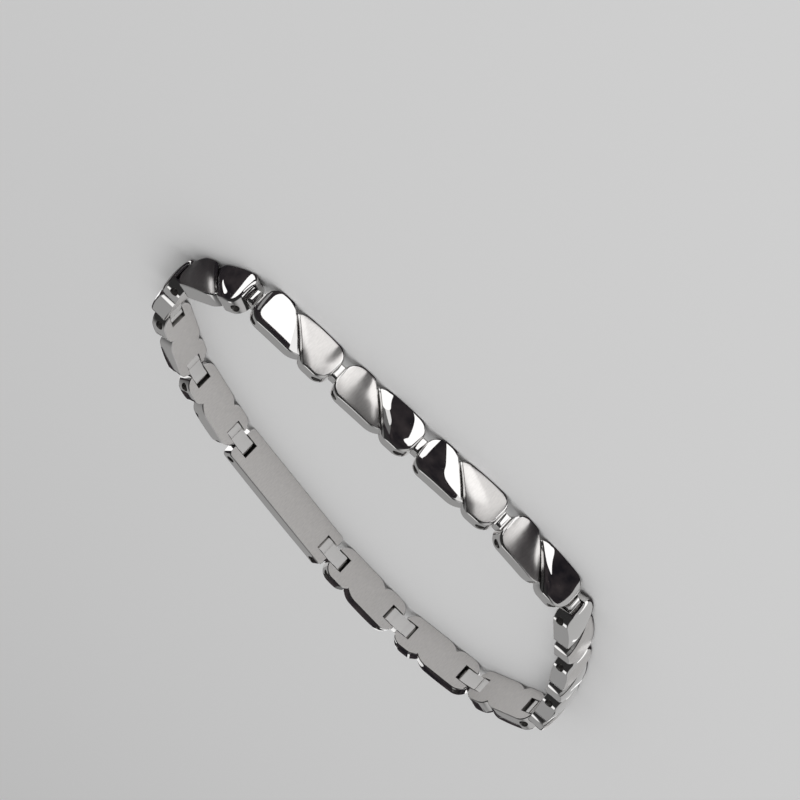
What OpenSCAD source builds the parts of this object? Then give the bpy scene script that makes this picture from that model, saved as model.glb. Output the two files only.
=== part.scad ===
// Titanium link bracelet, closed and lying on its side.
// The loop lies in the XY plane and its height runs along +Z. The front of the loop faces -Y.
// Every link carries two teardrop lobes that a slanting V groove divides. Small connectors join
// the links, each on two cross pins, and one plain clasp closes the loop at the back.
// Units are millimetres.

/* [Links] */
// Distance between the two pin holes of a link
pin_spacing = 9.8; // [9.6:0.1:10.4]
// Length of a link past its pin holes, at each end
link_nose = 1.05; // [1:0.01:1.08]
// Width of a link, across the band
link_w = 4.8; // [4.6:0.1:5.4]
// Height of a lobe's crown above the pin holes
crown_h = 1.75; // [1.7:0.05:2]
// Depth of a link below the pin holes
link_under = 0.95; // [0.9:0.05:1]
// Radius of the rounded corners at a link's ends
corner_r = 1.7; // [1.4:0.1:1.9]
// Rounding along the top edges of a link
edge_r = 0.45; // [0.3:0.05:0.5]

/* [Lobes and groove] */
// Radius of the lobes' crown across the band
dome_across_r = 8; // [7:0.5:12]
// Radius of the lobes' crown along the band
dome_along_r = 20; // [16:1:30]
// Width of the V groove between the two lobes
groove_w = 0.8; // [0.6:0.05:1]
// Depth of the V groove below the crown
groove_d = 0.8; // [0.6:0.05:0.85]
// Radius where a lobe's long edge turns into the groove
waist_r = 1.6; // [1.2:0.1:1.8]
// Radius of the curve that thins each lobe's tail
tail_r = 2.9; // [2.6:0.1:3.4]

/* [Connectors and pins] */
// Distance between the two pins of a connector
connector_spacing = 2.8; // [2.76:0.02:2.9]
// Width of a connector
connector_w = 2; // [1.6:0.1:2.2]
// Height of a connector's middle rib above its pins
rib_h = 1.2; // [1.1:0.05:1.3]
// Length of that rib along the band
rib_l = 0.56; // [0.4:0.02:0.58]
// Radius of a connector's round ends
eye_r = 0.88; // [0.8:0.02:0.88]
// Radius of a pin
pin_r = 0.5; // [0.4:0.02:0.52]
// Gap between a pin and its hole, all round
pin_gap = 0.03; // [0.02:0.01:0.05]
// Depth of a pin's ends below the link's sides
pin_recess = 0.6; // [0.55:0.05:0.8]
// Gap between a connector and the pocket that it turns in
pocket_gap = 0.1; // [0.08:0.01:0.12]

/* [Hidden] */
$fn = 64;
eps = 0.01;

// Heading of each link round the loop, in degrees from +X, from one side of the clasp to the other
headings = [321, 301, 270, 232, 181, 184, 185, 165, 112, 104, 97, 52, 16, -8];
// Heading that the connectors beside the clasp are turned towards
clasp_lean = -24;

links = len(headings);
joints = links + 1;
link_l = pin_spacing + 2 * link_nose;
half_l = link_l / 2;
half_w = link_w / 2;
pin_l = link_w - 2 * pin_recess;
hole_r = pin_r + pin_gap;
pocket_w = connector_w + 2 * pocket_gap;
pocket_top = eye_r + pocket_gap;
// How far each lobe reaches into the other under the groove
lobe_lap = 0.02;
lobe_mid = half_l * 0.39;

// Names of the pieces
function numbered(word, i) = str(word, i < 9 ? "_0" : "_", i + 1);

// The chain of pin holes. Connector i lies before link i, and turns half of the bend there.
function along(angle) = [cos(angle), sin(angle)];
function outward(angle) = [-sin(angle), cos(angle)];
function joint_heading(i) =
    i == 0 ? (clasp_lean + 360 + headings[0]) / 2
    : i == links ? (headings[links - 1] + clasp_lean) / 2
    : (headings[i - 1] + headings[i]) / 2;
function first_hole(i) =
    i == 0 ? [0, 0] : last_hole(i - 1) + connector_spacing * along(joint_heading(i));
function last_hole(i) = first_hole(i) + pin_spacing * along(headings[i]);

// The clasp spans what is left between the last connector and the first
clasp_start = last_hole(links - 1) + connector_spacing * along(joint_heading(links));
clasp_end = -connector_spacing * along(joint_heading(0));
clasp_run = clasp_end - clasp_start;
clasp_spacing = norm(clasp_run);
clasp_heading = atan2(clasp_run[1], clasp_run[0]);

function link_mid(i) = (first_hole(i) + last_hole(i)) / 2;
function joint_mid(i) =
    i == 0 ? clasp_end / 2
    : last_hole(i - 1) + connector_spacing / 2 * along(joint_heading(i));
clasp_mid = (clasp_start + clasp_end) / 2;

// Box round the loop, from the outer and inner ends of each piece, so that its middle is the origin
function end_points(mid, angle, length) = [
    for (side = [-1, 1], level = [-link_under, crown_h - edge_r])
        mid + side * length / 2 * along(angle) + level * outward(angle)
];
function crown_points(mid, angle) = [
    for (side = [-1, 1]) mid + side * lobe_mid * along(angle) + crown_h * outward(angle)
];
outline_points = concat(
    [for (i = [0 : links - 1]) each end_points(link_mid(i), headings[i], link_l)],
    [for (i = [0 : links - 1]) each crown_points(link_mid(i), headings[i])],
    end_points(clasp_mid, clasp_heading, clasp_spacing + 2 * link_nose)
);
xs = [for (p = outline_points) p[0]];
ys = [for (p = outline_points) p[1]];
centre = [(min(xs) + max(xs)) / 2, (min(ys) + max(ys)) / 2];

// Puts a piece into the loop. In a piece's own frame x runs along the chain, y across the band
// towards the side that the bracelet lies on, and z outward.
module set_in_loop(mid, angle) {
    translate([mid[0] - centre[0], mid[1] - centre[1], half_w])
        rotate([0, 0, angle])
            rotate([-90, 0, 0])
                children();
}

// Extrudes a side profile, drawn in x and z, over the whole width
module across_band(width) {
    rotate([90, 0, 0])
        linear_extrude(width, center = true)
            children();
}

// Extrudes a cross-section, drawn in y and z, over the whole length
module along_band(length) {
    rotate([90, 0, 90])
        linear_extrude(length, center = true)
            children();
}

// Where a dome of radius dome_r runs into a rounded corner: how far the corner's centre lies below
// the top of the dome, and how far from its middle the dome ends
function corner_drop(half, dome_r) =
    dome_r - sqrt(pow(dome_r - edge_r, 2) - pow(half - edge_r, 2));
function dome_end(half, dome_r) = (half - edge_r) * dome_r / (dome_r - edge_r);

// A domed profile that is rounded at both top corners, from low to high
module domed_profile(half, low, high, dome_r) {
    round_z = high - corner_drop(half, dome_r);
    top_x = dome_end(half, dome_r);
    intersection() {
        translate([0, high - dome_r]) circle(dome_r, $fn = 50 * ceil(sqrt(dome_r)));
        translate([-top_x, low]) square([2 * top_x, high - low + 1]);
    }
    translate([-half, low]) square([2 * half, round_z - low]);
    for (side = [-1, 1])
        translate([side * (half - edge_r), round_z]) circle(edge_r);
}

// Cuts off the corner of a lobe at the side with x and y positive
module end_corner_cut() {
    translate([half_l - corner_r, half_w - corner_r])
        difference() {
            square(corner_r + 1);
            circle(corner_r);
        }
}

// Plan of the lobe towards +x: a rounded end, a waist that curves into the groove, and a thin tail
module lobe_plan() {
    groove_x = half_w - lobe_lap;
    waist_x = groove_x + waist_r * tan(22.5);
    waist_y = half_w - waist_r;
    on_groove = half_w - waist_r * tan(22.5) * cos(45);
    difference() {
        polygon([[groove_x - link_w, half_w], [groove_x, -half_w],
                 [half_l, -half_w], [half_l, half_w]]);
        end_corner_cut();
        mirror([0, 1]) end_corner_cut();
        // The waist turns from the long edge into the groove
        difference() {
            polygon([[groove_x, -half_w], [waist_x, -half_w], [on_groove - lobe_lap, -on_groove]]);
            translate([waist_x, -waist_y]) circle(waist_r);
        }
        // The tail thins towards the notch in the other long edge
        difference() {
            translate([-half_w - 1, 0]) square([half_w + 1, half_w + 1]);
            translate([0, half_w - tail_r]) circle(tail_r, $fn = 128);
        }
    }
}

// The crown over a lobe: the cross-section turned about an axis that runs across the band below it
module crown() {
    translate([lobe_mid, 0, crown_h - dome_along_r])
        rotate([90, 0, 0])
            rotate_extrude($fn = 240)
                rotate(-90)
                    domed_profile(half_w, 0, dome_along_r, dome_across_r);
}

// Side profile that rounds the top edge at the lobe's outer end
module end_profile() {
    half = half_l - lobe_mid;
    round_z = crown_h - corner_drop(half, dome_along_r);
    tail_x = -half_w - 1;
    translate([tail_x, -link_under])
        square([lobe_mid + dome_end(half, dome_along_r) - tail_x, crown_h + link_under]);
    translate([tail_x, -link_under])
        square([half_l - tail_x, round_z + link_under]);
    translate([half_l - edge_r, round_z])
        circle(edge_r);
}

// One lobe as a solid, domed both ways
module lobe() {
    intersection() {
        translate([0, 0, -link_under])
            linear_extrude(crown_h + link_under)
                lobe_plan();
        crown();
        across_band(2 * link_w) end_profile();
    }
}

// The pocket that a connector turns in, open at the end and below, and the hole for its pin
module end_pocket(hole_x) {
    pocket_l = pocket_top + link_nose + 1;
    translate([hole_x - pocket_top, -pocket_w / 2, -link_under - 1])
        cube([pocket_l, pocket_w, link_under + 1 + pocket_top]);
    translate([hole_x, 0, 0])
        rotate([90, 0, 0])
            cylinder(h = link_w + 1, r = hole_r, center = true);
}

module end_pockets(spacing) {
    end_pocket(spacing / 2);
    rotate([0, 0, 180]) end_pocket(spacing / 2);
}

// The slanting V groove, from notch to notch
module groove() {
    rotate([0, 0, -45])
        along_band(3 * link_w)
            polygon([[-groove_w / 2 - 1, crown_h + 2 * groove_d / groove_w],
                     [groove_w / 2 + 1, crown_h + 2 * groove_d / groove_w],
                     [0, crown_h - groove_d]]);
}

module link(i) {
    color([0.76, 0.75, 0.75])
        set_in_loop(link_mid(i), headings[i])
            difference() {
                union() {
                    lobe();
                    rotate([0, 0, 180]) lobe();
                }
                groove();
                end_pockets(pin_spacing);
            }
}

// A connector: an eye at each pin, a web between them, and the low rib that shows between links
module connector(i) {
    shoulder = 0.25;
    color([0.68, 0.68, 0.69])
        set_in_loop(joint_mid(i), joint_heading(i))
            difference() {
                intersection() {
                    across_band(connector_w)
                        union() {
                            for (side = [-1, 1])
                                translate([side * connector_spacing / 2, 0]) circle(eye_r);
                            square([connector_spacing, 1.6 * eye_r], center = true);
                            translate([-rib_l / 2, 0]) square([rib_l, rib_h]);
                        }
                    along_band(2 * connector_spacing)
                        polygon([[-connector_w / 2, -eye_r - eps], [connector_w / 2, -eye_r - eps],
                                 [connector_w / 2, rib_h - shoulder],
                                 [connector_w / 2 - shoulder, rib_h],
                                 [shoulder - connector_w / 2, rib_h],
                                 [-connector_w / 2, rib_h - shoulder]]);
                }
                for (side = [-1, 1])
                    translate([side * connector_spacing / 2, 0, 0])
                        rotate([90, 0, 0])
                            cylinder(h = connector_w + 1, r = hole_r, center = true);
            }
}

// Pins go in pairs through each connector, the first before its middle and the second after it
module pin(i) {
    joint = floor(i / 2);
    side = i % 2 == 0 ? -1 : 1;
    color([0.6, 0.6, 0.61])
        set_in_loop(joint_mid(joint), joint_heading(joint))
            translate([side * connector_spacing / 2, 0, 0])
                rotate([90, 0, 0])
                    cylinder(h = pin_l, r = pin_r, center = true);
}

// The clasp, one plain domed bar with the same pockets as a link
module clasp() {
    clasp_l = clasp_spacing + 2 * link_nose;
    clasp_dome_r = 10 * dome_along_r;
    color([0.72, 0.72, 0.72])
        set_in_loop(clasp_mid, clasp_heading)
            difference() {
                intersection() {
                    translate([0, 0, -link_under])
                        linear_extrude(crown_h + link_under)
                            square([clasp_l, link_w], center = true);
                    along_band(2 * clasp_l)
                        domed_profile(half_w, -link_under, crown_h, dome_across_r);
                    across_band(2 * link_w)
                        domed_profile(clasp_l / 2, -link_under, crown_h, clasp_dome_r);
                }
                end_pockets(clasp_spacing);
            }
}

for (i = [0 : links - 1])
    link(i);
for (i = [0 : joints - 1])
    connector(i);
for (i = [0 : 2 * joints - 1])
    pin(i);
clasp();
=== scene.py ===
import math

import bmesh
import bpy
import numpy as np
from mathutils import Matrix, Vector
from mathutils.geometry import delaunay_2d_cdt


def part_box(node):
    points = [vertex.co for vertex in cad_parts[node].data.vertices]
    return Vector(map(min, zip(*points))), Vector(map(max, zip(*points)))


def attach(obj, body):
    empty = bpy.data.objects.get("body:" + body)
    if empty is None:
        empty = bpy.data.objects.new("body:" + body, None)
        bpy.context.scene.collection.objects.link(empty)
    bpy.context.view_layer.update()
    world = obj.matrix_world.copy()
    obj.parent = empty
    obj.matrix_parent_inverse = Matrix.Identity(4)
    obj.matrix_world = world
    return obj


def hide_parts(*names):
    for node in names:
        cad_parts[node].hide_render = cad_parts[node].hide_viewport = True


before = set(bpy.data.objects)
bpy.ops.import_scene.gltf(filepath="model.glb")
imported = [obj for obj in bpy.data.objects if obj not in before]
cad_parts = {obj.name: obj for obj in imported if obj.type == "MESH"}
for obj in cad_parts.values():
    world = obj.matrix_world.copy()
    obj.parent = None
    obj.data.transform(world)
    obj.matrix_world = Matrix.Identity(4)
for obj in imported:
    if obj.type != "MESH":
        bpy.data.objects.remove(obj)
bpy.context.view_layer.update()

MM = 0.001
BODY = "root"

# Sizes of the solids that the finer pieces follow
LINK_W = 4.8
NOSE = 1.05
CROWN = 1.75
UNDER = 0.95
CORNER_R = 1.7
WAIST_R = 1.6
TAIL_R = 2.9
DOME_ACROSS_R = 8.0
DOME_ALONG_R = 20.0
CROWN_SHARE = 0.39
GROOVE_D = 0.8
CONNECTOR_W = 2.0
RIB_H = 1.2
EYE_R = 0.88
PIN_R = 0.5
PIN_L = 3.6
PIN_GAP = 0.03
POCKET_GAP = 0.1
HALF_W = LINK_W / 2
HOLE_R = PIN_R + PIN_GAP

# Finer form that only these pieces have
RIM_R = 0.34  # rounding of a lobe's edge at its round end
TAIL_RIM_R = 0.15  # rounding of a lobe's edge at its tail
GROOVE_EDGE = 0.3  # from the bottom of the groove to the crisp edge of a lobe, seen from above
ROLL_FROM = 1.25  # where a lobe starts to fall towards the groove
ROLL_R = 2.6  # radius of that fall
FOOT_BEVEL = 0.1
SIDE_INSET = 0.13  # from a lobe's long edge to its satin or polished top
END_INSET = 0.36  # the same at the lobe's round end
RIB_FULL_L = 0.63  # of a connector's rib along the chain, as its finer piece has it
SHOULDER = 0.25  # slope at both ends of a connector's rib
CONNECTOR_BEVEL = 0.03
CLASP_CORNER_R = 0.5
CLASP_RIM_R = 0.45
CLASP_ALONG_R = 200.0
CLASP_TOP_INSET = 1.5 * SIDE_INSET  # from the clasp's edge to its satin top
WEB_SHARE = 0.8  # height of a connector's web as a share of its eyes'

# Where the groove's painted shade and painted dark reflection lie, as distances from its bottom, seen from
# above
PAINTED_SHADE_EDGE = 0.08  # edge of the painted shade, a dark line along the groove's bottom
PAINTED_REFLECTION_START = 0.24  # where the painted dark reflection on the +x lobe's lip starts, which ends at the groove's edge

# Fineness of the meshes
PIN_SIDES = 32
HOLE_SIDES = 40
POINT_STEP = 0.1  # between points of an outline
GRID_STEP = 0.15  # between points inside a link's outline
CLASP_GRID_STEP = 2 * GRID_STEP
CLASP_GRID_INSET = 1.5 * CLASP_RIM_R  # from the clasp's edge to its points inside
RING_CLEARANCE = 0.02  # from the ends of a ring of points to the outline or the groove's bottom
SLOPE_STEP = 0.02  # over which the groove's slope along itself is measured
SMALLEST_EDGE = 0.001
MERGE_DISTANCE = 1e-4
HAIR = 1e-6  # smaller than any gap between points
OVERCUT = 1.0  # how far a cutter stands out of what it cuts
STEEPEST_DOME = 0.98  # largest share of a dome's radius that its fall is worked out for
STEEPEST_RIM = 0.9999  # the same for a rim
BEVEL_ANGLE = 40  # degrees between faces from which a connector's edge is bevelled
SHARP_ANGLE = 32  # degrees from which an edge of a link or the clasp is shaded sharp
SHARP_CONNECTOR_ANGLE = 20
LEAST_OUTWARD = 0.01  # a face that leans further out than this takes its shading from the domed top

SLANT = np.array([1.0, 1.0]) / math.sqrt(2)  # across the groove, towards the +x lobe
ALONG_GROOVE = np.array([1.0, -1.0]) / math.sqrt(2)

# Material slots of a link and the clasp
# The last slot is painted shade at the groove's bottom and a painted dark reflection on the +x lobe's lip
LEFT_TOP, RIGHT_TOP, POLISHED, RECESS, UNDERSIDE, GROOVE, PAINTED_SHADE_AND_REFLECTION = range(7)


def pin_middle(number):
    """Where a pin stands in the row's frame, seen from above, in millimetres."""
    low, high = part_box(f"pin_{number:02d}")
    return (np.array((low + high)[:2]) / 2) / MM


def between(first, second):
    """Middle, heading and distance of two pins, as a piece's own frame needs them."""
    a, b = pin_middle(first), pin_middle(second)
    run = b - a
    return (a + b) / 2, math.atan2(run[1], run[0]), float(np.hypot(*run))


def link_place(number):
    """Middle, heading and pin distance of a link."""
    return between(2 * number, 2 * number + 1)


def connector_place(number):
    """Middle, heading and pin distance of a connector."""
    return between(2 * number - 1, 2 * number)


def number_of(node):
    """The number in a node's name."""
    return int(node.split("_")[1])


def placed(middle, heading):
    """Matrix from a piece's own frame, in metres, to the row's frame."""
    place = Matrix.Translation((middle[0] * MM, middle[1] * MM, HALF_W * MM))
    return place @ Matrix.Rotation(heading, 4, "Z") @ Matrix.Rotation(-math.pi / 2, 4, "X")


LINKS = sorted(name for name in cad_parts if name.startswith("link_"))
CONNECTORS = sorted(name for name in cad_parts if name.startswith("connector_"))
PINS = sorted(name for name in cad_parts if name.startswith("pin_"))
LAST_PIN = len(PINS)
PIN_SPACING = link_place(1)[2]
CONNECTOR_SPACING = connector_place(1)[2]
HALF_L = PIN_SPACING / 2 + NOSE
LOBE_MID = HALF_L * CROWN_SHARE
CLASP_SPACING = between(LAST_PIN, 1)[2]
CLASP_HALF_L = CLASP_SPACING / 2 + NOSE


# Plane curves

def arc(centre, radius, start, end):
    """Points along a circle, from one angle in degrees to another."""
    count = max(2, round(radius * math.radians(abs(end - start)) / POINT_STEP) + 1)
    turn = np.radians(np.linspace(start, end, count))
    return np.array(centre) + radius * np.c_[np.cos(turn), np.sin(turn)]


def straight(start, end):
    """Points along a line, both ends included."""
    start, end = np.array(start, float), np.array(end, float)
    count = max(2, round(np.hypot(*(end - start)) / POINT_STEP) + 1)
    return start + np.linspace(0, 1, count)[:, None] * (end - start)


def joined(*runs):
    """One path from runs that meet end to end."""
    points = [runs[0]] + [run[1:] for run in runs[1:]]
    return np.concatenate(points)


def outward_normals(path, closed=False):
    """Normals to the right of a path, which is outward when it runs anticlockwise."""
    if closed:
        tangent = np.roll(path, -1, 0) - np.roll(path, 1, 0)
    else:
        tangent = np.gradient(path, axis=0)
    normal = np.c_[tangent[:, 1], -tangent[:, 0]]
    return normal / np.linalg.norm(normal, axis=1, keepdims=True)


def nearest(points, path, normals):
    """Distance from each point to a path, and the path's smoothed outward normal there."""
    start, run = path[:-1], path[1:] - path[:-1]
    offset = points[:, None, :] - start[None]
    share = np.clip((offset * run).sum(2) / (run * run).sum(1), 0, 1)
    gap = np.linalg.norm(offset - share[..., None] * run, axis=2)
    best = gap.argmin(1)
    rows = np.arange(len(points))
    t = share[rows, best][:, None]
    normal = normals[best] * (1 - t) + normals[best + 1] * t
    return gap[rows, best], normal / np.linalg.norm(normal, axis=1, keepdims=True)


def cut_off(points, keep):
    """The run of an open polyline where keep(points) isn't negative, with its ends on the limit."""
    level = keep(points)
    inside = np.flatnonzero(level >= 0)
    if len(inside) < 2:
        return np.empty((0, 2))
    first, last = inside[0], inside[-1]
    run = [points[first:last + 1]]
    if first > 0:
        t = level[first] / (level[first] - level[first - 1])
        run.insert(0, (points[first] + t * (points[first - 1] - points[first]))[None])
    if last < len(points) - 1:
        t = level[last] / (level[last] - level[last + 1])
        run.append((points[last] + t * (points[last + 1] - points[last]))[None])
    return np.concatenate(run)


# The lobe towards +x, seen from above and in height. The other lobe is the same, turned by half a turn.

def lobe_outline():
    """The outline, anticlockwise from the lower notch, and how many points it starts with on the groove."""
    tail_y = HALF_W - TAIL_R
    notch = (tail_y + math.sqrt(2 * TAIL_R ** 2 - tail_y ** 2)) / 2
    tail_turn = math.degrees(math.atan2(notch - tail_y, -notch))
    waist = (HALF_W + WAIST_R * math.tan(math.pi / 8), WAIST_R - HALF_W)
    on_groove = HALF_W - WAIST_R * math.tan(math.pi / 8) * math.cos(math.pi / 4)
    corner = (HALF_L - CORNER_R, HALF_W - CORNER_R)
    groove_run = straight((notch, -notch), (on_groove, -on_groove))
    outline = joined(
        groove_run,
        arc(waist, WAIST_R, 225, 270),
        straight((waist[0], -HALF_W), (corner[0], -HALF_W)),
        arc((corner[0], -corner[1]), CORNER_R, 270, 360),
        straight((HALF_L, -corner[1]), (HALF_L, corner[1])),
        arc(corner, CORNER_R, 0, 90),
        straight((corner[0], HALF_W), (0, HALF_W)),
        arc((0, tail_y), TAIL_R, 90, tail_turn),
    )
    return outline, len(groove_run)


OUTER, POINTS_ON_GROOVE = lobe_outline()
OUTER_NORMALS = outward_normals(OUTER)
NOTCH_GAP = float(np.hypot(*(OUTER[0] - OUTER[-1])))


def circle_drop(offset, radius):
    """How far a circle has fallen below its top, and its slope there."""
    limit = STEEPEST_DOME * radius
    offset = np.clip(offset, -limit, limit)
    depth = np.sqrt(radius ** 2 - offset ** 2)
    return radius - depth, offset / depth


def rim_drop(inset, radius):
    """How far a round rim has fallen at a distance inside the edge, and its slope there."""
    left = np.clip(radius - inset, 0, STEEPEST_RIM * radius)
    depth = np.sqrt(radius ** 2 - left ** 2)
    return radius - depth, left / depth


def end_share(points, start):
    """How far points lie towards the lobe's round end, from 0 at start to 1 at the end."""
    return np.clip((points[:, 0] - start) / (HALF_L - start), 0, 1)


def top_inset(points):
    """From a lobe's edge to its satin or polished top, near these points."""
    return SIDE_INSET + (END_INSET - SIDE_INSET) * end_share(points, LOBE_MID) ** 2


def lobe_crown(points):
    """Height and slope of the +x lobe without its rim, domed both ways and falling to the groove."""
    along_drop, along_slope = circle_drop(points[:, 0] - LOBE_MID, DOME_ALONG_R)
    across_drop, across_slope = circle_drop(points[:, 1], DOME_ACROSS_R)
    off_groove = np.maximum(points @ SLANT, GROOVE_EDGE)
    roll = np.clip(ROLL_FROM - off_groove, 0, None)
    height = CROWN - along_drop - across_drop - roll ** 2 / (2 * ROLL_R)
    slope = (roll / ROLL_R)[:, None] * SLANT - np.c_[along_slope, across_slope]
    return height, slope


def lobe_body(points):
    """Height and slope of the +x lobe's surface, round at its rim."""
    height, slope = lobe_crown(points)
    inset, normal = nearest(points, OUTER, OUTER_NORMALS)
    rim_r = TAIL_RIM_R + (RIM_R - TAIL_RIM_R) * end_share(points, -HALF_W) ** 2
    drop, steep = rim_drop(inset, rim_r)
    return height - drop, slope - steep[:, None] * normal


def groove_bottom(run):
    """Height of the groove's bottom at distances along it from the link's middle."""
    points = run[:, None] * ALONG_GROOVE
    own, _ = lobe_body(points)
    other, _ = lobe_body(-points)
    return np.minimum(np.minimum(own, other), CROWN - GROOVE_D)


def groove_wall(points):
    """Height and slope of the +x lobe's side of the groove, from its bottom up to the crisp edge."""
    run, off = points @ ALONG_GROOVE, points @ SLANT
    share = off / GROOVE_EDGE

    def height_at(where):
        """Height of the wall at distances along the groove, and its slope up from the bottom."""
        low = groove_bottom(where)
        high, _ = lobe_body(where[:, None] * ALONG_GROOVE + GROOVE_EDGE * SLANT)
        return low + (high - low) * share, (high - low) / GROOVE_EDGE

    height, steep = height_at(run)
    along = (height_at(run + SLOPE_STEP)[0] - height_at(run - SLOPE_STEP)[0]) / (2 * SLOPE_STEP)
    return height, steep[:, None] * SLANT + along[:, None] * ALONG_GROOVE


def lobe_surface(points, in_groove):
    """Height and slope of the +x lobe, as the groove's wall where in_groove says so."""
    height, slope = lobe_body(points)
    wall_height, wall_slope = groove_wall(points)
    height = np.where(in_groove, wall_height, height)
    slope = np.where(in_groove[:, None], wall_slope, slope)
    return height, slope


def triangulated(boundary, rings, grid):
    """Triangles that fill a closed boundary, with each ring's points joined by edges."""
    points = list(boundary)
    edges = [(k, (k + 1) % len(boundary)) for k in range(len(boundary))]
    for ring in rings:
        edges += [(len(points) + k, len(points) + k + 1) for k in range(len(ring) - 1)]
        points += list(ring)
    points += list(grid)
    fill_inside = 1
    found = delaunay_2d_cdt([Vector(p) for p in points], edges, [], fill_inside, HAIR)
    return np.array([v[:] for v in found[0]]), [list(face) for face in found[2]]


def grid_points(low, high, step):
    """A grid of rows that are each shifted by half a step."""
    rows = np.arange(low[1], high[1], step * math.sqrt(0.75))
    found = []
    for k, y in enumerate(rows):
        xs = np.arange(low[0] + (k % 2) * step / 2, high[0], step)
        found.append(np.c_[xs, np.full(len(xs), y)])
    return np.concatenate(found)


RIM_INSETS = (0.02, 0.08, 0.18, 0.32, 0.5, 0.72, 1.0, 1.35, 1.8)  # as shares of the top's inset
CLASP_RIM_INSETS = (*RIM_INSETS[:-2], 1.2)  # as shares of the clasp's rim radius
GROOVE_INSETS = (PAINTED_SHADE_EDGE, 0.16, PAINTED_REFLECTION_START, GROOVE_EDGE, 0.33, 0.4, 0.5, 0.62)


def lobe_pad():
    """Points and triangles of the +x lobe's top, seen from above."""
    reach = NOTCH_GAP / 2
    line = straight(reach * -ALONG_GROOVE, reach * ALONG_GROOVE)
    boundary = np.concatenate([OUTER, line[1:-1]])
    rings = []
    for share in RIM_INSETS:
        ring = OUTER - share * top_inset(OUTER)[:, None] * OUTER_NORMALS
        rings.append(cut_off(ring, lambda p: p @ SLANT - RING_CLEARANCE))
    past_lobe = 3 * reach * ALONG_GROOVE
    long_line = straight(-past_lobe, past_lobe)
    for inset in GROOVE_INSETS:
        rings.append(cut_off(long_line + inset * SLANT, lambda p: inside_lobe(p) - RING_CLEARANCE))
    grid = grid_points((-HALF_W, -HALF_W), (HALF_L, HALF_W), GRID_STEP)
    room = nearest(grid, OUTER, OUTER_NORMALS)[0] - RIM_INSETS[-1] * top_inset(grid)
    room = np.where(inside_lobe(grid) > 0, room, -1)
    room = np.minimum(room, grid @ SLANT - GROOVE_INSETS[-1])
    return triangulated(boundary, rings, grid[room > GRID_STEP / 2])


def inside_lobe(points):
    """Distance inside the +x lobe's outline off the groove, which is convex. It is negative outside."""
    offset = points[:, None, :] - OUTER[None]
    depth = -(offset * OUTER_NORMALS[None]).sum(2)
    return depth[:, POINTS_ON_GROOVE:].min(1)


def add_walls(mesh, around, outward, top_z):
    """Adds walls below an outline, joined to the top, and a flat underside with a small bevel round it."""
    rows = [
        [mesh.verts.new((x, y, z)) for (x, y), z in zip(around, top_z)],
        [mesh.verts.new((x, y, FOOT_BEVEL - UNDER)) for x, y in around],
        [mesh.verts.new((x, y, -UNDER)) for x, y in around - FOOT_BEVEL * outward],
    ]
    for upper, lower in zip(rows, rows[1:]):
        for k in range(len(around)):
            following = (k + 1) % len(around)
            face = mesh.faces.new([upper[k], lower[k], lower[following], upper[following]])
            face.material_index = POLISHED
    underside = mesh.faces.new(rows[-1][::-1])
    underside.material_index = UNDERSIDE
    bmesh.ops.triangulate(mesh, faces=[underside])
    bmesh.ops.remove_doubles(mesh, verts=mesh.verts, dist=MERGE_DISTANCE)
    bmesh.ops.recalc_face_normals(mesh, faces=mesh.faces)


def lobe_slots(middles, top):
    """The material slot of each face of a lobe's top. The groove's bottom gets painted shade; the +x lobe's
    lip a painted dark reflection.
    """
    off_groove = middles @ SLANT
    in_groove = off_groove < GROOVE_EDGE
    in_painted_shade_and_reflection = off_groove < PAINTED_SHADE_EDGE
    if top == RIGHT_TOP:
        in_painted_shade_and_reflection |= in_groove & (off_groove > PAINTED_REFLECTION_START)
    inset, _ = nearest(middles, OUTER, OUTER_NORMALS)
    slots = np.where(inset > top_inset(middles), top, POLISHED)
    slots = np.where(in_groove, GROOVE, slots)
    return np.where(in_painted_shade_and_reflection, PAINTED_SHADE_AND_REFLECTION, slots)


def link_mesh(name, materials):
    """A link's mesh before its pockets and pin holes are cut."""
    flat, triangles = lobe_pad()
    middles = np.array([flat[t].mean(0) for t in triangles])
    height, _ = lobe_surface(flat, flat @ SLANT < GROOVE_EDGE - HAIR)
    mesh = bmesh.new()
    for turn, top in ((1, RIGHT_TOP), (-1, LEFT_TOP)):
        verts = [mesh.verts.new((turn * x, turn * y, z)) for (x, y), z in zip(flat, height)]
        for triangle, slot in zip(triangles, lobe_slots(middles, top)):
            face = mesh.faces.new([verts[k] for k in triangle])
            face.material_index = int(slot)
    around = np.concatenate([OUTER[:-1], -OUTER[:-1]])
    outward = np.concatenate([OUTER_NORMALS[:-1], -OUTER_NORMALS[:-1]])
    # The mitre of the two walls that meet at each notch
    for notch in (0, len(OUTER) - 1):
        before, after = outward[notch - 1], outward[notch]
        outward[notch] = (before + after) / (1 + before @ after)
    top_height, _ = lobe_surface(OUTER, OUTER @ SLANT < GROOVE_EDGE - HAIR)
    add_walls(mesh, around, outward, np.concatenate([top_height[:-1], top_height[:-1]]))
    return finished(mesh, name, materials)


def connector_profile():
    """A connector seen along the pins: two round eyes, a web between them and a rib on top."""
    eye = CONNECTOR_SPACING / 2
    half_web = WEB_SHARE * EYE_R
    turn = 180 - math.degrees(math.asin(WEB_SHARE))
    half_rib = RIB_FULL_L / 2
    rib = [(half_rib, half_web), (half_rib, RIB_H), (-half_rib, RIB_H), (-half_rib, half_web)]
    eyes = [arc((eye, 0), EYE_R, -turn, turn), arc((-eye, 0), EYE_R, 180 - turn, 180 + turn)]
    return np.concatenate([eyes[0], rib, eyes[1]])


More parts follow.
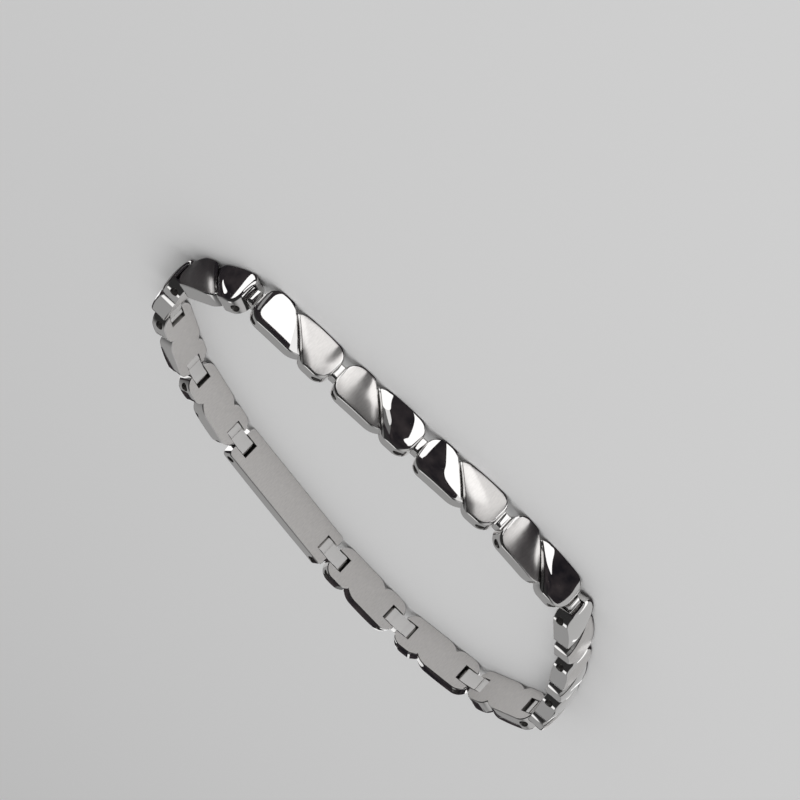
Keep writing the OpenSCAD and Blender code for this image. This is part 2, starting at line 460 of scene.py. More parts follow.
def connector_mesh(name, materials):
    """A connector with sloping ends on its rib and bevelled edges, before its pin holes are cut."""
    profile = connector_profile()
    half = CONNECTOR_W / 2
    mesh = bmesh.new()
    near, far = ([mesh.verts.new((x, y, z)) for x, z in profile] for y in (-half, half))
    mesh.faces.new(near)
    mesh.faces.new(far[::-1])
    for k in range(len(profile)):
        following = (k + 1) % len(profile)
        mesh.faces.new([near[k], far[k], far[following], near[following]])
    bmesh.ops.recalc_face_normals(mesh, faces=mesh.faces)
    for side in (-1, 1):
        everything = mesh.verts[:] + mesh.edges[:] + mesh.faces[:]
        plane_start = (0, side * half, RIB_H - SHOULDER)
        cut = bmesh.ops.bisect_plane(
            mesh, geom=everything, plane_co=plane_start, plane_no=(0, side, 1), clear_outer=True
        )
        loop = [item for item in cut["geom_cut"] if isinstance(item, bmesh.types.BMEdge)]
        bmesh.ops.edgeloop_fill(mesh, edges=loop)
    bmesh.ops.recalc_face_normals(mesh, faces=mesh.faces)
    corners = [edge for edge in mesh.edges if edge.calc_face_angle(0) > math.radians(BEVEL_ANGLE)]
    bmesh.ops.bevel(mesh, geom=corners, offset=CONNECTOR_BEVEL, segments=2, profile=0.5, affect="EDGES")
    return finished(mesh, name, materials)


# Radius and distance from the tip of the rings that round a pin's domed end
PIN_END = ((0.02, 0), (0.22, 0.012), (0.38, 0.035), (0.45, 0.065), (0.487, 0.11), (PIN_R, 0.17))


def pin_mesh(name, materials):
    """A turned pin across the band, with round edges and slightly domed ends."""
    rings = [(r, depth - PIN_L / 2) for r, depth in PIN_END]
    rings += [(r, PIN_L / 2 - depth) for r, depth in PIN_END[::-1]]
    turns = np.linspace(0, 2 * math.pi, PIN_SIDES, endpoint=False)
    mesh = bmesh.new()
    rows = [[mesh.verts.new((r * math.cos(t), y, r * math.sin(t))) for t in turns] for r, y in rings]
    for row, following in zip(rows, rows[1:]):
        for k in range(PIN_SIDES):
            mesh.faces.new([row[k - 1], row[k], following[k], following[k - 1]])
    mesh.faces.new(rows[0])
    mesh.faces.new(rows[-1][::-1])
    bmesh.ops.recalc_face_normals(mesh, faces=mesh.faces)
    return finished(mesh, name, materials)


def clasp_outline():
    """The clasp's outline, anticlockwise, with its first point again at the end."""
    across = HALF_W - CLASP_CORNER_R
    along = CLASP_HALF_L - CLASP_CORNER_R
    centres = ((along, -across), (along, across), (-along, across), (-along, -across))
    runs = []
    for centre, turn in zip(centres, (-90, 0, 90, 180)):
        runs.append(arc(centre, CLASP_CORNER_R, turn, turn + 90))
    sides = [straight(runs[k][-1], runs[(k + 1) % 4][0]) for k in range(4)]
    return joined(*(run for pair in zip(runs, sides) for run in pair))


def clasp_surface(points, outline, normals):
    """Height and slope of the clasp's top, domed both ways with a round rim."""
    along_drop, along_slope = circle_drop(points[:, 0], CLASP_ALONG_R)
    across_drop, across_slope = circle_drop(points[:, 1], DOME_ACROSS_R)
    inset, normal = nearest(points, outline, normals)
    drop, steep = rim_drop(inset, CLASP_RIM_R)
    height = CROWN - along_drop - across_drop - drop
    slope = -np.c_[along_slope, across_slope] - steep[:, None] * normal
    return height, slope


def clasp_mesh(name, materials):
    """The clasp's bar before its pockets and pin holes are cut."""
    outline = clasp_outline()
    normals = closed_normals(outline)
    rings = [outline - share * CLASP_RIM_R * normals for share in CLASP_RIM_INSETS]
    grid = grid_points((-CLASP_HALF_L, -HALF_W), (CLASP_HALF_L, HALF_W), CLASP_GRID_STEP)
    room = np.minimum(CLASP_HALF_L - np.abs(grid[:, 0]), HALF_W - np.abs(grid[:, 1]))
    flat, triangles = triangulated(outline[:-1], rings, grid[room > CLASP_GRID_INSET])
    middles = np.array([flat[t].mean(0) for t in triangles])
    on_top = nearest(middles, outline, normals)[0] > CLASP_TOP_INSET
    height, _ = clasp_surface(flat, outline, normals)
    mesh = bmesh.new()
    verts = [mesh.verts.new((x, y, z)) for (x, y), z in zip(flat, height)]
    for triangle, is_top in zip(triangles, on_top):
        face = mesh.faces.new([verts[k] for k in triangle])
        face.material_index = LEFT_TOP if is_top else POLISHED
    top_height, _ = clasp_surface(outline[:-1], outline, normals)
    add_walls(mesh, outline[:-1], normals[:-1], top_height)
    return finished(mesh, name, materials)


def closed_normals(path):
    """Outward normals of a closed path whose first point comes again at the end."""
    normal = outward_normals(path[:-1], closed=True)
    return np.concatenate([normal, normal[:1]])


def finished(mesh, name, materials):
    """A mesh in metres, with its materials, from one in millimetres."""
    mesh.transform(Matrix.Scale(MM, 4))
    data = bpy.data.meshes.new(name)
    mesh.to_mesh(data)
    mesh.free()
    for material in materials:
        data.materials.append(material)
    return data


def box_at(mesh, low, high, material_index):
    """Adds a box to a mesh, between two corners."""
    size = Vector(high) - Vector(low)
    place = Matrix.Translation((Vector(low) + Vector(high)) / 2) @ Matrix.Diagonal((*size, 1))
    made = bmesh.ops.create_cube(mesh, size=1, matrix=place)
    for vert in made["verts"]:
        for face in vert.link_faces:
            face.material_index = material_index


def rod_across(mesh, x, radius, length, material_index):
    """Adds a rod across the band to a mesh."""
    place = Matrix.Translation((x, 0, 0)) @ Matrix.Rotation(math.pi / 2, 4, "X")
    made = bmesh.ops.create_cone(
        mesh, cap_ends=True, segments=HOLE_SIDES, radius1=radius, radius2=radius, depth=length, matrix=place
    )
    for vert in made["verts"]:
        for face in vert.link_faces:
            face.material_index = material_index


def pocket_cutter(spacing, materials):
    """The pockets at both ends of a link, in which the connectors turn."""
    pocket_top = EYE_R + POCKET_GAP
    half = CONNECTOR_W / 2 + POCKET_GAP
    pockets = bmesh.new()
    for side in (-1, 1):
        ends = sorted((side * (spacing / 2 - pocket_top), side * (spacing / 2 + NOSE + OVERCUT)))
        box_at(pockets, (ends[0], -half, -UNDER - OVERCUT), (ends[1], half, pocket_top), RECESS)
    return finished(pockets, "pockets", materials)


def hole_cutter(spacing, materials):
    """The two pin holes of a piece."""
    holes = bmesh.new()
    for side in (-1, 1):
        rod_across(holes, side * spacing / 2, HOLE_R, LINK_W + OVERCUT, RECESS)
    return finished(holes, "holes", materials)


def carved(data, cutters):
    """The mesh with each cutter's volume taken away and what is left of tiny faces cleaned up."""
    work = bpy.data.objects.new("work", data)
    bpy.context.scene.collection.objects.link(work)
    tools = []
    for cutter in cutters:
        tool = bpy.data.objects.new("tool", cutter)
        bpy.context.scene.collection.objects.link(tool)
        tools.append(tool)
        cut = work.modifiers.new("cut", "BOOLEAN")
        cut.object = tool
        cut.operation = "DIFFERENCE"
        cut.solver = "EXACT"
    bpy.context.view_layer.update()
    graph = bpy.context.evaluated_depsgraph_get()
    result = bpy.data.meshes.new_from_object(work.evaluated_get(graph))
    for thing in [work] + tools:
        bpy.data.objects.remove(thing)
    clean = bmesh.new()
    clean.from_mesh(result)
    bmesh.ops.dissolve_degenerate(clean, dist=SMALLEST_EDGE * MM, edges=clean.edges)
    many_sided = [face for face in clean.faces if len(face.verts) > 4]
    bmesh.ops.triangulate(clean, faces=many_sided)
    clean.to_mesh(result)
    clean.free()
    return result


def shade(data, slope_at):
    """Smooth shading, with the normals of the domed top taken from the surface's own slope."""
    data.shade_smooth()
    data.set_sharp_from_angle(angle=math.radians(SHARP_ANGLE))
    places = np.array([v.co for v in data.vertices]) / MM
    normals = np.zeros((len(data.loops), 3))
    loops, verts, middles = [], [], []
    for face in data.polygons:
        if face.normal.z < LEAST_OUTWARD or face.material_index == RECESS:
            continue
        middle = places[list(face.vertices)].mean(0)[:2]
        for loop in face.loop_indices:
            loops.append(loop)
            verts.append(data.loops[loop].vertex_index)
            middles.append(middle)
    slope = slope_at(places[verts, :2], np.array(middles))
    normal = np.c_[-slope, np.ones(len(slope))]
    normals[loops] = normal / np.linalg.norm(normal, axis=1, keepdims=True)
    data.normals_split_custom_set(normals)


def link_slope(points, middles):
    """Slope of a link's top at points of faces with these middles."""
    off = middles @ SLANT
    turn = np.sign(off)[:, None]
    _, slope = lobe_surface(points * turn, np.abs(off) < GROOVE_EDGE)
    return slope * turn


def clasp_slope(points, middles):
    """Slope of the clasp's top."""
    outline = clasp_outline()
    return clasp_surface(points, outline, closed_normals(outline))[1]


# Materials. Noise scales are repeats a metre, and grain and bump are finer than the meshes.
HAZE_SCALE = 900.0
HAZE_DETAIL = 2.0
HAZE_SMEAR = (0.7, 1.5)  # least and most roughness, as shares of the material's own
GRAIN_SCALE = (6500.0, 1500.0, 2000.0)
GRAIN_DETAIL = 4.0
GRAIN_SMEAR = (0.8, 1.25)
GRAIN_TONES = (0.84, 1.16)  # darkest and lightest, as shares of the tint
GRAIN_STRENGTH = 0.3
GRAIN_DEPTH = 0.00002
SATIN_TINT = (0.75, 0.73, 0.715)
SATIN_ROUGHNESS = 0.37


def node_material(name):
    """A material with a metal shader, and helpers that add nodes and links to it."""
    material = bpy.data.materials.new(name)
    material.use_nodes = True
    nodes, links = material.node_tree.nodes, material.node_tree.links
    shader = nodes["Principled BSDF"]
    shader.inputs["Metallic"].default_value = 1.0

    def add(kind, **settings):
        """A new node with its settings, which are its own or its inputs' by name."""
        node = nodes.new(kind)
        for key, value in settings.items():
            if hasattr(node, key):
                setattr(node, key, value)
            else:
                node.inputs[key.replace("_", " ")].default_value = value
        return node

    def join(source, target):
        """A link from one socket to another."""
        links.new(source, target)

    return material, shader, add, join


def polished_titanium(name, tint, roughness):
    """Polished metal whose gloss is slightly uneven, like handled metal's."""
    material, shader, add, join = node_material(name)
    shader.inputs["Base Color"].default_value = (*tint, 1)
    where = add("ShaderNodeTexCoord")
    cloud = add("ShaderNodeTexNoise", Scale=HAZE_SCALE, Detail=HAZE_DETAIL)
    least, most = (roughness * share for share in HAZE_SMEAR)
    smear = add("ShaderNodeMapRange", To_Min=least, To_Max=most)
    join(where.outputs["Object"], cloud.inputs["Vector"])
    join(cloud.outputs["Fac"], smear.inputs["Value"])
    join(smear.outputs["Result"], shader.inputs["Roughness"])
    return material


def satin_titanium(name, tint, roughness):
    """Satin metal, finely brushed across the band."""
    material, shader, add, join = node_material(name)
    where = add("ShaderNodeTexCoord")
    stretch = add("ShaderNodeMapping")
    stretch.inputs["Scale"].default_value = GRAIN_SCALE
    lines = add("ShaderNodeTexNoise", Scale=1.0, Detail=GRAIN_DETAIL)
    least, most = (roughness * share for share in GRAIN_SMEAR)
    smear = add("ShaderNodeMapRange", To_Min=least, To_Max=most)
    bump = add("ShaderNodeBump", Strength=GRAIN_STRENGTH, Distance=GRAIN_DEPTH)
    tone = add("ShaderNodeMix", data_type="RGBA")
    for socket, share in zip("AB", GRAIN_TONES):
        tone.inputs[socket].default_value = (*(share * c for c in tint), 1)
    join(where.outputs["Object"], stretch.inputs["Vector"])
    join(stretch.outputs["Vector"], lines.inputs["Vector"])
    join(lines.outputs["Fac"], smear.inputs["Value"])
    join(smear.outputs["Result"], shader.inputs["Roughness"])
    join(lines.outputs["Fac"], tone.inputs["Factor"])
    join(tone.outputs["Result"], shader.inputs["Base Color"])
    join(lines.outputs["Fac"], bump.inputs["Height"])
    join(bump.outputs["Normal"], shader.inputs["Normal"])
    return material


POLISH = polished_titanium("polished_titanium", tint=(0.80, 0.79, 0.78), roughness=0.05)
SOFT = polished_titanium("groove_titanium", tint=(0.76, 0.75, 0.74), roughness=0.2)
# Near-black tint: painted shade along the groove's bottom and a painted dark reflection on the +x lobe's
# lip
SHADE_AND_REFLECTION_PAINT = polished_titanium("groove_painted_shade_and_reflection_titanium", tint=(0.13, 0.125, 0.12), roughness=0.25)
SATIN = satin_titanium("satin_titanium", SATIN_TINT, SATIN_ROUGHNESS)
# Pockets and pin holes: a rougher finish, and a darker tint that is painted shade in these recesses
RECESS_PAINTED_SHADE = polished_titanium("recess_titanium_painted_shade", tint=(0.42, 0.41, 0.40), roughness=0.3)
PIN_METAL = polished_titanium("pin_titanium", tint=(0.62, 0.61, 0.60), roughness=0.18)
CLASP_SATIN = satin_titanium("clasp_satin_titanium", SATIN_TINT, SATIN_ROUGHNESS)


def show(data, node, middle, heading):
    """A piece with this mesh, placed in the row's frame, in place of a solid."""
    piece = bpy.data.objects.new(f"{node}_finished", data)
    bpy.context.scene.collection.objects.link(piece)
    piece.matrix_world = placed(middle, heading)
    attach(piece, BODY)
    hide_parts(node)
    return piece


def build_links():
    """Every link, with satin and polished lobes that change places from link to link."""
    finishes = {  # in the order of the material slots
        "even": [SATIN, POLISH, POLISH, RECESS_PAINTED_SHADE, SATIN, SOFT, SHADE_AND_REFLECTION_PAINT],
        "odd": [POLISH, SATIN, POLISH, RECESS_PAINTED_SHADE, SATIN, SOFT, SHADE_AND_REFLECTION_PAINT],
    }
    meshes = {}
    for name, materials in finishes.items():
        whole = link_mesh(f"link_{name}", materials)
        cutters = [pocket_cutter(PIN_SPACING, materials), hole_cutter(PIN_SPACING, materials)]
        meshes[name] = carved(whole, cutters)
        shade(meshes[name], link_slope)
    for node in LINKS:
        number = number_of(node)
        middle, heading, _ = link_place(number)
        show(meshes["odd" if number % 2 else "even"], node, middle, heading)


def build_connectors():
    """Every connector with the two pins that go through it."""
    materials = [POLISH] * RECESS + [RECESS_PAINTED_SHADE]
    connector = carved(connector_mesh("connector", materials), [hole_cutter(CONNECTOR_SPACING, materials)])
    connector.shade_smooth()
    connector.set_sharp_from_angle(angle=math.radians(SHARP_CONNECTOR_ANGLE))
    pin = pin_mesh("pin", [PIN_METAL])
    pin.shade_smooth()
    for node in CONNECTORS:
        number = number_of(node)
        middle, heading, _ = connector_place(number)
        show(connector, node, middle, heading)
        for own_pin in (2 * number - 1, 2 * number):
            show(pin, f"pin_{own_pin:02d}", pin_middle(own_pin), heading)


def build_clasp():
    """The plain bar that closes the loop."""
    materials = [CLASP_SATIN, CLASP_SATIN, POLISH, RECESS_PAINTED_SHADE, SATIN]
    cutters = [pocket_cutter(CLASP_SPACING, materials), hole_cutter(CLASP_SPACING, materials)]
    clasp = carved(clasp_mesh("clasp", materials), cutters)
    shade(clasp, clasp_slope)
    middle, heading, _ = between(LAST_PIN, 1)
    show(clasp, "clasp", middle, heading)


build_links()
build_connectors()
build_clasp()


# The camera, in degrees and millimetres, placed from the middle of the connector near the photo's centre
CAMERA_ELEVATION = 20.5
CAMERA_ROLL = 223.45
CAMERA_DISTANCE = 430.0
CAMERA_ASIDE = (-2.15, 5.46)  # to the view's right and up
FOCAL_PIXELS = 3767.0
PHOTO_WIDTH = 800
SENSOR_WIDTH = 36
CLIP_START = 0.01  # metres
CENTRE_CONNECTOR = 7


def build_camera():
    """The scene's camera at the photo's angle. Its place is returned."""
    e, r = math.radians(CAMERA_ELEVATION), math.radians(CAMERA_ROLL)
    back = Vector((0, -math.cos(e), math.sin(e)))
    x = Vector((0, 0, 1)).cross(back).normalized()
    y = back.cross(x)
    right = math.cos(r) * x + math.sin(r) * y
    up = -math.sin(r) * x + math.cos(r) * y
    middle, _, _ = connector_place(CENTRE_CONNECTOR)
    target = Vector((middle[0], middle[1], HALF_W))
    place = target + back * CAMERA_DISTANCE + right * CAMERA_ASIDE[0] + up * CAMERA_ASIDE[1]
    data = bpy.data.cameras.new("camera")
    data.sensor_width = SENSOR_WIDTH
    data.lens = FOCAL_PIXELS * data.sensor_width / PHOTO_WIDTH
    data.clip_start = CLIP_START
    camera = bpy.data.objects.new("camera", data)
    turn = Matrix((right, up, back)).transposed().to_4x4()
    camera.matrix_world = Matrix.Translation(place * MM) @ turn
    bpy.context.scene.collection.objects.link(camera)
    bpy.context.scene.camera = camera
    return camera.matrix_world.translation


EYE = build_camera()


# Floor and light

def on_stage(name, data):
    """An object of the studio, which isn't part of the bracelet."""
    item = bpy.data.objects.new(name, data)
    bpy.context.scene.collection.objects.link(item)
    return item


FLOOR_REACH = 3.0  # metres
FLOOR_DROP = 0.00002  # metres
FLOOR_GREY = 0.72
FLOOR_ROUGHNESS = 0.9
FLOOR_SPECULAR = 0.1


def build_floor():
    """The plain pale surface that the bracelet lies on."""
    data = bpy.data.meshes.new("floor")
    square = ((-1, -1), (1, -1), (1, 1), (-1, 1))
    corners = [(x * FLOOR_REACH, y * FLOOR_REACH, -FLOOR_DROP) for x, y in square]
    data.from_pydata(corners, [], [(0, 1, 2, 3)])
    material = bpy.data.materials.new("floor")
    material.use_nodes = True
    shader = material.node_tree.nodes["Principled BSDF"]
    shader.inputs["Base Color"].default_value = (FLOOR_GREY, FLOOR_GREY, FLOOR_GREY, 1)
    shader.inputs["Roughness"].default_value = FLOOR_ROUGHNESS
    shader.inputs["Specular IOR Level"].default_value = FLOOR_SPECULAR
    data.materials.append(material)
    on_stage("floor", data)


# Sloping cards in front of the links, which only polished and satin metal sees. Each starts at the
# floor, CARD_FOOT outward from the pins' axis, rises outward and meets its neighbours in a mitre. A patch
# of a card is given by what it lights: its corners are places on a link's top, along the chain and across
# the band, where the photo's view finds the patch's reflection. A dark strip on the floor closes the gap
# below a card.
CARD_FOOT = 1.6
CARD_TOP = 9.0
STRIP_FOOT = 0.9
PATCH_LIFT = 0.02  # of each patch off the one below it
PATCH_STEP = 0.25  # between points of a patch's outline, before it is softened
LEAST_RISE = 0.05  # of a ray towards the card
CARD_LEVELS = {  # brightness of a patch
    "black": 0.03,
    "dim": 0.16,
    "mid": 0.3,
    "grey": 0.5,
    "pale": 0.88,
    "bright": 1.05,
    "white": 1.3,
}
CARD_GROUND = {"link_09": "grey", "link_10": "grey", "link_11": "grey"}  # elsewhere black
CARD_PATCHES = {  # level, side of the lobe, corners
    "link_03": [
        ("grey", 1, [(-1.0, 2.2), (5.9, 2.2), (5.9, -2.2), (2.4, -2.2)]),
    ],
    "link_04": [
        ("white", 1, [
            (4.4, 2.2), (4.7, 1.0), (4.95, 0.0), (5.0, -1.0), (4.9, -2.2), (6.0, -2.2), (6.0, 2.2),
        ]),
        ("white", -1, [(-0.3, -0.3), (0.5, -1.1), (1.5, -2.1), (1.1, -2.2), (0.2, -1.4), (-0.5, -0.6)]),
    ],
    "link_05": [
        ("white", -1, [
            (-5.0, 1.3), (-4.7, 1.9), (-4.2, 2.3), (-1.5, 2.3), (1.0, 0.0), (1.9, -1.6),
            (0.5, -1.75), (-4.2, -1.75), (-4.8, -1.5), (-5.0, -1.0),
        ]),
        ("bright", 1, [
            (-1.2, 2.2), (4.3, 2.2), (4.4, -2.0), (3.2, -2.0), (2.4, -1.2), (1.2, 0.0), (0.0, 1.2),
        ]),
        ("bright", 1, [(4.95, 2.2), (6.0, 2.2), (6.0, -2.2), (5.0, -2.2)]),
        ("dim", 1, [(4.2, 2.2), (5.1, 2.2), (5.1, -2.2), (4.3, -2.2)]),
        ("mid", -1, [(-5.65, 1.6), (-5.4, 1.6), (-5.3, 0.0), (-5.1, -1.5), (-5.35, -1.5), (-5.6, 0.0)]),
    ],
    "link_06": [
        ("dim", -1, [
            (-4.2, 2.3), (-2.9, 2.3), (-1.6, 0.6), (-0.4, -0.6), (0.4, -1.6), (0.4, -2.3),
            (-4.1, -2.3),
        ]),
        ("bright", -1, [(-6.1, 2.3), (-3.9, 2.3), (-3.7, 0.0), (-3.8, -2.3), (-6.1, -2.3)]),
        ("pale", -1, [
            (-3.1, 2.2), (-2.9, 1.8), (-1.6, 0.2), (-0.8, -0.8), (0.2, -1.7), (0.4, -1.3),
            (-0.2, -0.6), (-0.6, -0.1), (-1.0, 0.6), (-1.6, 1.4), (-2.2, 2.2),
        ]),
        ("white", 1, [
            (-2.0, 2.2), (0.25, 2.2), (0.35, 1.6), (0.7, 1.0), (1.2, 0.45), (0.6, 0.1), (-0.4, 0.6),
            (-1.6, 1.8),
        ]),
        ("white", 1, [
            (3.0, 2.3), (3.8, 1.7), (4.3, 0.8), (4.6, 0.0), (4.8, -0.8), (5.1, -1.3), (5.5, -1.2),
            (5.6, 0.8), (5.5, 1.8), (5.2, 2.3),
        ]),
    ],
    "link_07": [
        ("pale", 1, [
            (-0.5, 2.2), (0.7, 1.3), (2.0, 0.2), (2.6, -0.7), (3.1, -1.5), (3.3, -2.2), (5.5, -2.2),
            (5.5, 2.2),
        ]),
        ("white", -1, [
            (-6.1, 2.2), (-4.95, 2.2), (-5.0, 0.0), (-4.95, -1.0), (-5.2, -1.25), (-6.1, -1.15),
        ]),
        ("white", -1, [
            (-4.4, 2.3), (-3.9, 1.7), (-3.2, 0.8), (-2.5, -0.1), (-2.2, -0.8), (-1.6, -1.25),
            (-0.6, -1.5), (0.5, -1.6), (1.6, -1.6), (1.2, -0.6), (0.2, 0.4), (-0.8, 1.6),
            (-1.8, 2.3),
        ]),
    ],
    "link_08": [
        ("bright", -1, [(-6.1, 2.2), (-5.65, 2.2), (-5.65, -2.2), (-6.1, -2.2)]),
        ("bright", -1, [(-5.45, 2.2), (-4.2, 2.2), (-4.2, -2.2), (-5.45, -2.2)]),
        ("white", 1, [
            (-2.0, 2.2), (0.1, 2.2), (0.4, 1.8), (0.8, 0.9), (1.3, 0.25), (2.0, -0.45), (1.2, -0.1),
            (0.6, 0.2), (-0.3, 0.9), (-1.5, 2.0),
        ]),
        ("grey", 1, [
            (5.0, 2.2), (6.0, 2.2), (6.0, -2.2), (4.9, -2.2), (5.15, -1.0), (5.2, 0.0), (5.0, 1.2),
        ]),
    ],
}
HIDDEN_PATCHES = (CARD_PATCHES["link_06"], CARD_PATCHES["link_07"])  # for links on the loop's far side
SEEN_RIBS = [f"connector_{number:02d}" for number in range(4, 10)]
RIB_LIFT = 0.2  # of a rib's patch off the card
RIB_CORNERS = [(-0.6, 2.2), (0.6, 2.2), (0.6, -1.2), (-0.6, -1.2)]
UNEVEN_SCALE = 350.0  # repeats a metre of the uneven black
UNEVEN_DETAIL = 4.0
UNEVEN_TONES = ((0.35, (0.012, 0.011, 0.014)), (0.72, (0.046, 0.039, 0.041)))  # noise level and tone
SOFTENINGS = 2


def glowing(name, level, uneven):
    """A card's material, which glows evenly or as an uneven black and isn't used as a lamp."""
    material = bpy.data.materials.new(name)
    material.use_nodes = True
    nodes = material.node_tree.nodes
    nodes.remove(nodes["Principled BSDF"])
    light = nodes.new("ShaderNodeEmission")
    light.inputs["Color"].default_value = (level, level, level, 1)
    links = material.node_tree.links
    links.new(light.outputs[0], nodes["Material Output"].inputs["Surface"])
    if uneven:
        where = nodes.new("ShaderNodeTexCoord")
        cloud = nodes.new("ShaderNodeTexNoise")
        cloud.inputs["Scale"].default_value = UNEVEN_SCALE
        cloud.inputs["Detail"].default_value = UNEVEN_DETAIL
        tones = nodes.new("ShaderNodeValToRGB")
        for element, (place, tone) in zip(tones.color_ramp.elements, UNEVEN_TONES):
            element.position = place
            element.color = (*tone, 1)
        links.new(where.outputs["Object"], cloud.inputs["Vector"])
        links.new(cloud.outputs["Fac"], tones.inputs["Fac"])
        links.new(tones.outputs["Color"], light.inputs["Color"])
    material.cycles.emission_sampling = "NONE"
    return material


def softened(corners):
    """A closed outline through corners, with the corners rounded."""
    runs = []
    for first, second in zip(corners, corners[1:] + corners[:1]):
        count = max(1, round(math.dist(first, second) / PATCH_STEP))
        steps = np.linspace(0, 1, count, endpoint=False)[:, None]
        runs.append(np.array(first) + steps * (np.array(second) - np.array(first)))
    points = np.concatenate(runs)
    for _ in range(SOFTENINGS):
        points = (np.roll(points, 1, 0) + 2 * points + np.roll(points, -1, 0)) / 4
    return points


def lobe_top(side, points):
    """Places and normals of a lobe's top."""
    height, slope = lobe_crown(points * side)
    normal = np.c_[-slope * side, np.ones(len(slope))]
    return np.c_[points, height], normal / np.linalg.norm(normal, axis=1, keepdims=True)


def seen_on_card(frame_place, place, normal, eye):
    """Where metal shows the card at these places, along the card and up, as seen from the eye."""
    ray = place - np.array(frame_place.inverted() @ eye) / MM
    ray /= np.linalg.norm(ray, axis=1, keepdims=True)
    ray -= 2 * (ray * normal).sum(1)[:, None] * normal
    rise = np.maximum(ray[:, 1] + ray[:, 2], LEAST_RISE)
    reach = (HALF_W + CARD_FOOT - place[:, 1] - place[:, 2]) / rise
    hit = place + reach[:, None] * ray
    return np.c_[hit[:, 0], np.clip(HALF_W - hit[:, 1], 0, CARD_TOP)]


def add_card(parts, frame_place, corners, level):
    """Adds one face to the cards, from its corners in a piece's own frame."""
    verts, faces, levels = parts
    start = len(verts)
    for corner in corners:
        verts.append(frame_place @ (Vector(corner) * MM))
    faces.append(list(range(start, len(verts))))
    levels.append(list(CARD_LEVELS).index(level))


def on_slope(outline, lift=0.0):
    """Corners on a sloping card, from places along the card and up, lifted off it by a little."""
    return [(along, HALF_W - up, CARD_FOOT + up - lift) for along, up in outline]


def mitred(half_l, leans, low, high):
    """Four corners between two mitres, from the lower to the upper of two distances outward."""
    corners = []
    for outward, order in ((low, (-1, 1)), (high, (1, -1))):
        for side in order:
            corners.append((side * (half_l + leans[side] * outward), outward))
    return corners


def straight_out(frame_place):
    """An eye that looks at a piece as the camera does at the links that face it."""
    e = math.radians(CAMERA_ELEVATION)
    return frame_place @ (Vector((0, -math.sin(e), math.cos(e))) * CAMERA_DISTANCE * MM)


def card_leans(order, headings):
    """How far a card's ends lean, one for each side, so that it meets its neighbours in a mitre."""
    leans = {}
    for side in (-1, 1):
        other = headings[min(max(order + side, 0), len(LINKS) - 1)]
        turn = math.remainder(side * (headings[order] - other), 2 * math.pi)
        leans[side] = math.tan(turn / 2)
    return leans


def add_link_card(parts, node, leans):
    """Adds a link's card, with its strip on the floor and its patches."""
    number = number_of(node)
    middle, heading, _ = link_place(number)
    frame_place = placed(middle, heading)
    half_l = (PIN_SPACING + CONNECTOR_SPACING) / 2
    ground = CARD_GROUND.get(node, "black")
    slope = mitred(half_l, leans, CARD_FOOT, CARD_FOOT + CARD_TOP)
    strip = mitred(half_l, leans, STRIP_FOOT, CARD_FOOT)
    add_card(parts, frame_place, on_slope([(along, out - CARD_FOOT) for along, out in slope]), ground)
    add_card(parts, frame_place, [(along, HALF_W, out) for along, out in strip], "black")
    if ground != "black":
        return
    eye = EYE if node in CARD_PATCHES else straight_out(frame_place)
    patches = CARD_PATCHES.get(node, HIDDEN_PATCHES[number % 2])
    for layer, (level, side, corners) in enumerate(patches):
        outline = seen_on_card(frame_place, *lobe_top(side, softened(corners)), eye)
        add_card(parts, frame_place, on_slope(outline, PATCH_LIFT * (layer + 1)), level)


def add_rib_patch(parts, node):
    """Adds the patch that a connector's rib mirrors."""
    middle, heading, _ = connector_place(number_of(node))
    frame_place = placed(middle, heading)
    rib = np.array([(along, across, RIB_H) for along, across in RIB_CORNERS])
    facing = np.tile((0.0, 0.0, 1.0), (len(rib), 1))
    eye = EYE if node in SEEN_RIBS else straight_out(frame_place)
    outline = seen_on_card(frame_place, rib, facing, eye)
    add_card(parts, frame_place, on_slope(outline, RIB_LIFT), "white")


def build_cards():
    """The cards as one mesh, which only reflections see."""
    parts = [], [], []
    headings = [link_place(number_of(node))[1] for node in LINKS]
    for order, node in enumerate(LINKS):
        add_link_card(parts, node, card_leans(order, headings))
    for node in CONNECTORS:
        add_rib_patch(parts, node)
    data = bpy.data.meshes.new("cards")
    data.from_pydata(parts[0], [], parts[1])
    for name, level in CARD_LEVELS.items():
        data.materials.append(glowing(f"card_{name}", level, uneven=name == "black"))
    data.polygons.foreach_set("material_index", parts[2])
    cards = on_stage("cards", data)
    cards.visible_camera = False
    cards.visible_diffuse = False
    cards.visible_shadow = False
    cards.visible_transmission = False
    cards.visible_volume_scatter = False


# The studio's light. Metal reflects a pattern of its own, and everything else an even pale grey.
ROOM_GREY = 0.55
MIRRORED = {  # where a part of the pattern starts and is full, along its direction, and its level
    "above": ((0, 0.45, 0.89), 0.955, 0.985, 1.1),
    "behind": ((0, 1, 0), 0.05, 0.75, 0.33),
    "low side": ((-1, 0, 0), 0.30, 0.75, 0.5),
}
MIRRORED_REST = 0.03


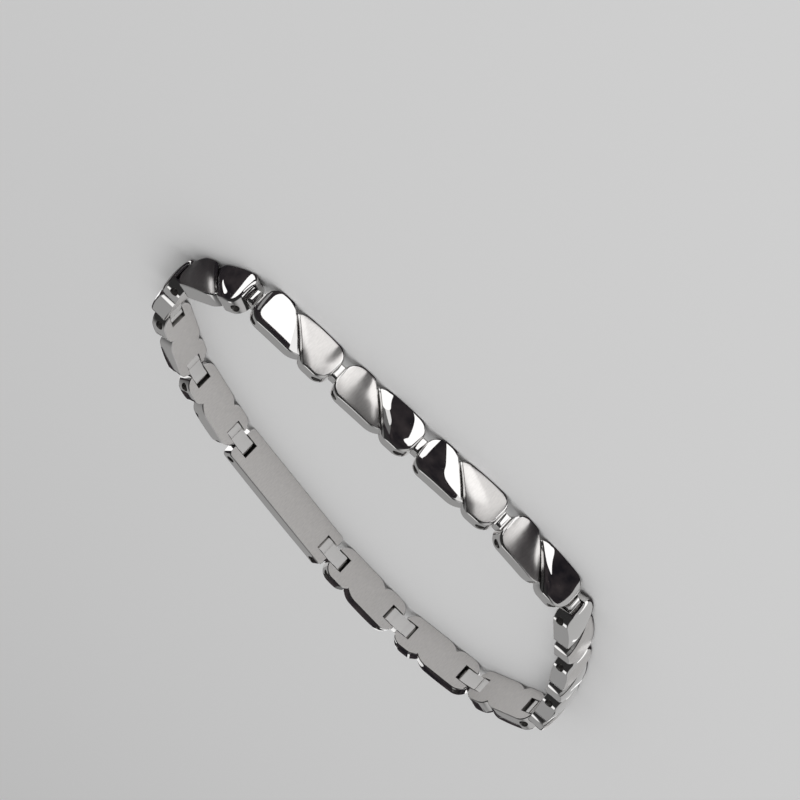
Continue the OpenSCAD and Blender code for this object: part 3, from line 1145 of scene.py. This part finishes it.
def build_world():
    """An even pale light, and the pattern that metal mirrors instead of it."""
    world = bpy.data.worlds.new("studio")
    bpy.context.scene.world = world
    world.use_nodes = True
    nodes, links = world.node_tree.nodes, world.node_tree.links
    plain = nodes["Background"]
    plain.inputs["Color"].default_value = (ROOM_GREY, ROOM_GREY, ROOM_GREY, 1)
    direction = nodes.new("ShaderNodeTexCoord")
    level = None
    for axis, start, full, brightness in MIRRORED.values():
        towards = nodes.new("ShaderNodeVectorMath")
        towards.operation = "DOT_PRODUCT"
        towards.inputs[1].default_value = axis
        links.new(direction.outputs["Generated"], towards.inputs[0])
        band = nodes.new("ShaderNodeMapRange")
        band.interpolation_type = "SMOOTHSTEP"
        band.inputs["From Min"].default_value = start
        band.inputs["From Max"].default_value = full
        band.inputs["To Min"].default_value = MIRRORED_REST
        band.inputs["To Max"].default_value = brightness
        links.new(towards.outputs["Value"], band.inputs["Value"])
        if level is None:
            level = band.outputs["Result"]
        else:
            most = nodes.new("ShaderNodeMath")
            most.operation = "MAXIMUM"
            links.new(level, most.inputs[0])
            links.new(band.outputs["Result"], most.inputs[1])
            level = most.outputs["Value"]
    mirrored = nodes.new("ShaderNodeBackground")
    links.new(level, mirrored.inputs["Color"])
    path = nodes.new("ShaderNodeLightPath")
    choice = nodes.new("ShaderNodeMixShader")
    links.new(path.outputs["Is Glossy Ray"], choice.inputs["Fac"])
    links.new(plain.outputs[0], choice.inputs[1])
    links.new(mirrored.outputs[0], choice.inputs[2])
    links.new(choice.outputs[0], nodes["World Output"].inputs["Surface"])


LAMP_PLACE = Vector((-0.25, -0.35, 0.6))  # metres
LAMP_SIZE = 0.5  # metres
LAMP_WATTS = 2.0


def build_lamp():
    """One soft lamp, which metal doesn't mirror."""
    data = bpy.data.lights.new("lamp", "AREA")
    data.size = LAMP_SIZE
    data.energy = LAMP_WATTS
    lamp = bpy.data.objects.new("lamp", data)
    lamp.location = LAMP_PLACE
    lamp.rotation_euler = LAMP_PLACE.to_track_quat("Z", "Y").to_euler()
    lamp.visible_glossy = False
    bpy.context.scene.collection.objects.link(lamp)


build_floor()
build_cards()
build_world()
build_lamp()


bpy.context.scene.view_settings.view_transform = "Standard"
